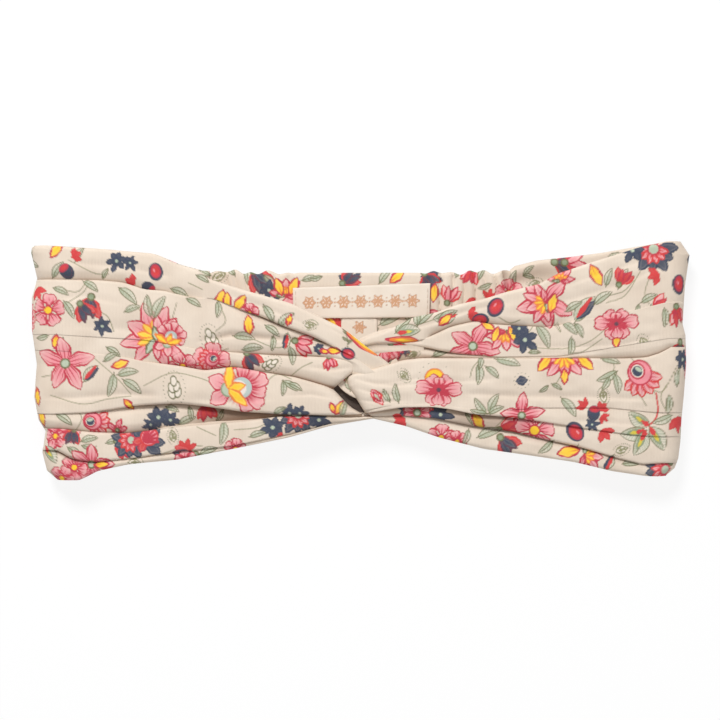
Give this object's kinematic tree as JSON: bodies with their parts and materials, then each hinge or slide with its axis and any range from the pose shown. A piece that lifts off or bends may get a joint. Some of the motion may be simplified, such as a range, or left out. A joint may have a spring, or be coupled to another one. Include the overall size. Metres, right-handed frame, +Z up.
{
  "type": "knotted headband",
  "caption": "Soft jersey headband laid flat: two pleated halves interlock in a front twist and join at an elastic back with a sewn-in label.",
  "frame": {"origin": "middle of the flat underside that the band rests on, directly below the knot", "axes": "+X along the band towards its right-hand fold, +Y across the band towards the elastic casing's side, +Z up through the knot"},
  "size_m": [0.23, 0.0844, 0.0172],
  "materials": {
    "jersey": "matt fine-rib cotton jersey with an all-over floral print",
    "lining": "matt fine-rib cotton jersey, the print showing faintly",
    "elastic": "woven elastic with lengthwise ribs",
    "label": "satin-edged woven ribbon, slight sheen",
    "thread": "twisted cotton sewing thread"
  },
  "bodies": {
    "centre": {"left_knot_loop": "jersey", "right_knot_loop": "jersey", "elastic_casing": "jersey", "elastic_band": "elastic", "woven_label": "label", "left_elastic_tack": "thread", "right_elastic_tack": "thread", "left_label_stitch": "thread", "right_label_stitch": "thread"},
    "left_side": {"left_outer_panel": "jersey", "left_lining_panel": "lining", "left_tube_seam": "thread", "left_gather_seam": "thread"},
    "right_side": {"right_outer_panel": "jersey", "right_lining_panel": "lining", "right_tube_seam": "thread", "right_gather_seam": "thread"},
    "size_tag": {"size_tag": "label"}
  },
  "joints": [
    {"name": "stretch_left", "type": "slide", "parent": "centre", "child": "left_side", "axis": [-1, 0, 0], "range_m": [0, 0.028], "stiffness_N_per_m": 120},
    {"name": "stretch_right", "type": "slide", "parent": "centre", "child": "right_side", "axis": [1, 0, 0], "range_m": [0, 0.028], "stiffness_N_per_m": 120},
    {"name": "tag_flip", "type": "hinge", "parent": "centre", "child": "size_tag", "pos_m": [-0.0003, 0.014, 0.0031], "axis": [-1, 0, 0], "range_deg": [0, 30]}
  ],
  "couplings": [
    {"joint": "stretch_right", "follows": "stretch_left", "ratio": 1}
  ]
}
